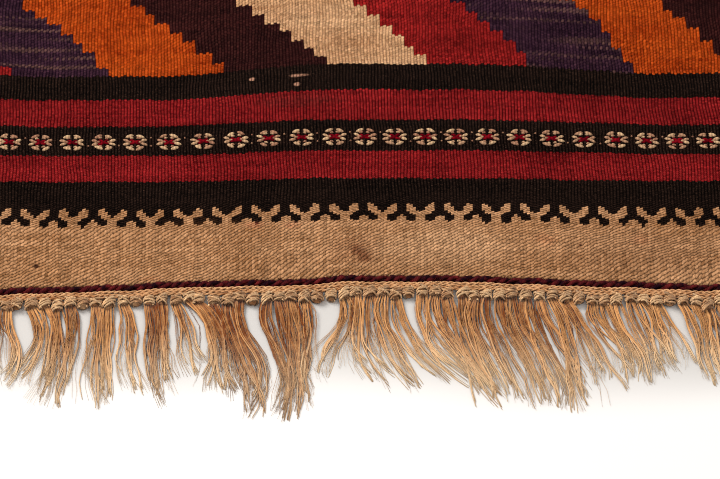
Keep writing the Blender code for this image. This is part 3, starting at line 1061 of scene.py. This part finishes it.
def knot_mesh(middles, turn, turns, way, size):
    """Turns of yarn wound round the warps of each group, leaning one way or the other."""
    count = len(middles)
    share = np.linspace(0, 1, int(turns * KNOT_RINGS_A_TURN))[None, :]
    lean = way * rng.normal(0.3, 0.25, count)[:, None]
    width = size * rng.uniform(2.8, 3.6, count)[:, None] * MM
    height = size * rng.uniform(1.7, 2.2, count)[:, None] * MM
    depth = size * rng.uniform(5.0, 6.4, count)[:, None] * MM
    angle = 2 * math.pi * way * (share * turns + rng.uniform(0, 1, count)[:, None])
    x = width * np.cos(angle) * (1 - 0.3 * (2 * share - 1) ** 2)
    y = (0.5 - share) * depth + x * lean
    wobble_rate = rng.uniform(0.4, 0.8, count)[:, None]
    wobble_start = rng.uniform(0, 6, count)[:, None]
    y = y + 0.45 * MM * np.sin(angle * wobble_rate + wobble_start)
    z = height * np.sin(angle)
    paths = middles[:, None, :] + np.stack((x * turn, y * turn, z), axis=-1)
    outward = np.stack((np.cos(angle) * turn, np.zeros_like(angle), np.sin(angle)), axis=-1)
    radius = KNOT_YARN_RADIUS * rng.uniform(0.85, 1.1, count)[:, None] * np.ones(share.shape)
    return bent_rods(paths, radius, radius, 4, outward)


def knot_cores(middles, turn):
    """The warps that run through each knot, spread flat from the twining to the fringe."""
    y = np.broadcast_to(CORE_ALONG, (len(middles), len(CORE_ALONG)))
    x = np.zeros(y.shape)
    paths = middles[:, None, :] + np.stack((x, y * turn, x - CORE_DROP), axis=-1)
    return bent_rods(paths, CORE_HALF_WIDTHS, CORE_HALF_HEIGHTS, 6)


for end, turn in ENDS:
    middles = knot_middles(turn)
    knot_spots[end] = middles
    knot_parts = [knot_mesh(middles, turn, *wrap) for wrap in KNOT_WRAPS]
    knot_parts.append(knot_cores(middles, turn))
    for knot_part, tone in zip(knot_parts, KNOT_TONES_WITH_CORE_SHADE):
        note_yarns(knot_part, tone + rng.uniform(-0.15, 0.6, KNOT_COUNT), np.zeros(KNOT_COUNT))
    header = merged([twining_meshes[end], *knot_parts])
    add_piece(f"knots_{end}", header, pale_wool, "fringe_wool", f"knotted_fringe_{end}")

# %% [markdown]
# ## Fringe
#
# The warps themselves make the fringe. Below each knot they lie loose on the floor, a lock of
# thin wavy yarns that lean and curl together, so the flow of the fringe is given by a table of
# locks: how far they reach, and how far they drift aside on the way. Every yarn then adds a
# little of its own.

# %% Flow of the fringe
# Each row is one lock, in mm: its place across the rug, its reach, its drift aside at a third, at two
# thirds and at the tip, and then its paleness from 0 to 1.
FLOW_ROWS = (
    (-486, 60, 1, 2, 3, 0.6), (-440, 66, 2, 5, 7, 0.7), (-395, 72, 1, 3, 2, 0.5),
    (-350, 66, -1, -3, -5, 0.6), (-300, 62, 1, 2, 5, 0.7), (-262, 70, 3, 6, 8, 0.5),
    (-225, 60, 1, 1, -1, 0.6), (-210, 55, -1, -3, -4, 0.7), (-204, 56, 3, 6, 5, 0.75),
    (-190, 57, 5, 3, -6, 0.6), (-183, 65, 4, 4, 2, 0.5), (-176, 69, 2, 2, -1, 0.5),
    (-169, 68, 2, 1, -2, 0.45), (-164, 69, 3, 2, 11, 0.4), (-157, 70, 2, 2, 5, 0.6),
    (-151, 66, -1, -2, -3, 0.65), (-144, 70, 1, 2, 4, 0.6), (-140, 65, 4, 2, 10, 0.65),
    (-132, 71, 4, 6, 9, 0.4), (-126, 71, 2, 3, 6, 0.25), (-119, 65, 1, 2, 7, 0.35),
    (-113, 45, 1, 1, 9, 0.6), (-109, 62, 10, 13, 8, 0.65), (-104, 62, 11, 15, 14, 0.6),
    (-97, 63, 10, 13, 18, 0.15), (-89, 69, 6, 11, 15, 0.05), (-83, 78, 4, 12, 15, 0.05),
    (-76, 85, 3, 14, 11, 0.15), (-64, 83, 2, 13, 12, 0.1), (-56, 84, 5, 8, 7, 0.1),
    (-49, 80, 4, 6, 8, 0.2), (-41, 69, 2, 1, 1, 0.7), (-23, 53, 1, -8, -14, 0.75),
    (-16, 64, 1, -3, -7, 0.6), (-11, 62, -1, 1, 16, 0.6), (-3, 67, 1, 4, 14, 0.6),
    (3, 68, 0, 7, 16, 0.6), (10, 69, 3, 12, 27, 0.65), (25, 68, 1, 10, 31, 0.7),
    (32, 69, 3, 14, 27, 0.55), (39, 75, 4, 10, 22, 0.4), (46, 77, 3, 9, 17, 0.4),
    (54, 72, -1, 6, 12, 0.5), (61, 72, 2, 11, 21, 0.4), (68, 75, 4, 12, 20, 0.4),
    (75, 77, 4, 12, 18, 0.4), (83, 77, 4, 12, 19, 0.45), (90, 77, 5, 13, 16, 0.4),
    (97, 77, 8, 11, 14, 0.55), (103, 66, 8, 14, 18, 0.65), (117, 54, 2, 12, 19, 0.6),
    (125, 56, 6, 12, 16, 0.8), (132, 56, 5, 11, 16, 0.8), (139, 56, 4, 9, 12, 0.8),
    (146, 51, 6, 8, 9, 0.9), (154, 45, 4, 8, 11, 0.9), (168, 54, 6, 9, 12, 0.75),
    (183, 56, 4, 7, 9, 0.7), (200, 58, 5, 9, 11, 0.6), (235, 68, 4, 9, 9, 0.6), (280, 72, 1, 2, 1, 0.5),
    (330, 64, -2, -4, -6, 0.6), (380, 70, 1, 0, -3, 0.55), (430, 66, 0, -3, -6, 0.6),
    (486, 58, -2, -4, -8, 0.65),
)
BARE_KNOTS = (-300, -197, -160, -132, -70, -34, -27, 17, 109, 161, 252, 395)   # that lost their lock, in mm
# This turns drifts at the thirds into the factors of a cubic curve.
THROUGH_THIRDS = np.linalg.inv(np.array([[s, s ** 2, s ** 3] for s in (1 / 3, 2 / 3, 1)]))
STRANDS_A_LOCK = 5             # strands that a lock's yarns keep together in
YARNS_A_LOCK = {"front": 15, "back": 12}
FIBRES_A_LOCK = {"front": 26, "back": 16}
YARN_RINGS, FIBRE_RINGS = 12, 8
LOCK_WIDTH = 8.4               # at the knot, in mm
LOCK_START = 2.2 * MM          # past a knot's middle, and as high over the floor
WIDTH_STOPS = (0, 0.1, 0.6, 1)                 # shares of a yarn's length
YARN_HALF_WIDTHS = (0.5, 0.48, 0.44, 0.2)      # at those stops, in mm
FIBRE_HALF_WIDTHS = (0.17, 0.14, 0.12, 0.06)
print("locks in the table:", len(FLOW_ROWS))


def flow(across, column):
    """One column of the fringe's table, read between its rows, in metres."""
    rows = np.array(FLOW_ROWS)
    return np.interp(across, rows[:, 0] * MM, rows[:, column] * MM)


def locks_of(middles, turn):
    """The knots of one end that still have their lock."""
    across = middles[:, 0] * turn
    bare = np.zeros(len(middles), bool)
    for spot in BARE_KNOTS:
        bare[np.argmin(abs(across - spot * MM))] = True
    return middles[~bare]


# %% Yarns of a lock
def yarn_paths(middles, turn, yarns_a_lock, rings, looseness):
    """Wavy paths from each lock's knot out over the floor, and the lock, layer and tone of each."""
    lock = np.repeat(np.arange(len(middles)), yarns_a_lock)
    count = len(lock)
    share = np.linspace(0, 1, rings)[None, :]
    home = middles[lock] * (turn, turn, 1)
    across = home[:, 0]
    strand = rng.integers(0, STRANDS_A_LOCK, count)

    def of_strand(values):
        """One random value for each strand of each lock, read for every yarn."""
        return values[lock, strand]

    grid = (len(middles), STRANDS_A_LOCK)
    reach = flow(across, 1) * of_strand(rng.uniform(0.74, 1.04, grid)) * rng.uniform(0.94, 1.03, count)
    drifts = np.stack([flow(across, column) for column in (2, 3, 4)], axis=1)
    drifts = drifts + (rng.normal(0, 1, (len(middles), 3)) * (0.4, 0.9, 1.4) * MM)[lock]
    stray = np.where(rng.uniform(0, 1, grid) < 0.07, 3.0, 1.0)
    own_aside = of_strand(rng.normal(0, 2.2, grid) * stray) + rng.normal(0, looseness, count)
    drifts = drifts + (own_aside * MM)[:, None] * (0.35, 0.8, 1.3)
    curve = drifts @ THROUGH_THIRDS.T
    aside = curve[:, :1] * share + curve[:, 1:2] * share ** 2 + curve[:, 2:] * share ** 3
    wave_length = of_strand(rng.uniform(22, 44, grid))[:, None] * MM
    wave_size = of_strand(rng.uniform(0.3, 1.1, grid))[:, None] * MM * np.minimum(share * 3, 1)
    phase = of_strand(rng.uniform(0, 1, grid)) + rng.normal(0, 0.04 * looseness, count)
    wave = wave_size * np.sin(2 * math.pi * (share * reach[:, None] / wave_length + phase[:, None]))
    root = (strand + 0.5) / STRANDS_A_LOCK * LOCK_WIDTH - LOCK_WIDTH / 2 + rng.normal(0, 0.3, count)
    root = root[:, None] * MM * np.minimum(0.75 + share * 2, 1)
    layer = of_strand(rng.uniform(0, 1, grid)) * 0.6 + rng.uniform(0, 0.4, count)
    rest = (0.3 + 2.4 * layer)[:, None] * MM * (1 - 0.65 * share)
    height = rest + (LOCK_START - rest) * np.clip(1 - share * 7, 0, 1)
    x = home[:, :1] + root + aside + wave
    y = home[:, 1:2] - LOCK_START - share * reach[:, None] + rng.normal(0, 0.3, count)[:, None] * MM
    tone = of_strand(rng.normal(0, 0.22, grid))
    return np.stack((x * turn, y * turn, height), axis=-1), lock, layer, tone


def fringe_piece(name, middles, turn, count_a_lock, rings, looseness, half_widths):
    """Every yarn or fibre of one end's fringe as one piece."""
    paths, lock, layer, own_tone = yarn_paths(middles, turn, count_a_lock, rings, looseness)
    taper = np.interp(np.linspace(0, 1, rings), WIDTH_STOPS, half_widths) * MM
    pale = flow(middles[lock, 0] * turn, 5) / MM
    own_width = rng.uniform(0.75, 1.2, len(paths)) * (1.28 - 0.5 * pale)
    widths = taper[None, :] * own_width[:, None]
    fringe = bent_rods(paths, widths, widths * 0.8, 3)
    # Yarns that lie lower are darker: painted shade under the yarns above them.
    tones = pale + 0.9 * (layer - 0.55) + own_tone + rng.normal(0, 0.1, len(paths))
    fades = 0.4 + 0.7 * pale + rng.normal(0, 0.15, len(paths))
    note_yarns(fringe, tones.clip(0, 1), fades.clip(0, 1))
    return add_piece(name, fringe, loose_wool, "fringe_wool")


# %% Fringe of both ends
loose_wool = spun_wool("loose_wool", srgb(118, 58, 16), srgb(220, 160, 100), srgb(240, 208, 166),
                       plies_a_unit=0, edge_shade=0.6, depth=0.1 * MM)
for end, turn in ENDS:
    middles = locks_of(knot_spots[end], turn)
    fringe_piece(f"fringe_yarns_{end}", middles, turn, YARNS_A_LOCK[end], YARN_RINGS, 0.35, YARN_HALF_WIDTHS)
    fringe_piece(f"fringe_fibres_{end}", middles, turn, FIBRES_A_LOCK[end],
                 FIBRE_RINGS, 1.4, FIBRE_HALF_WIDTHS)
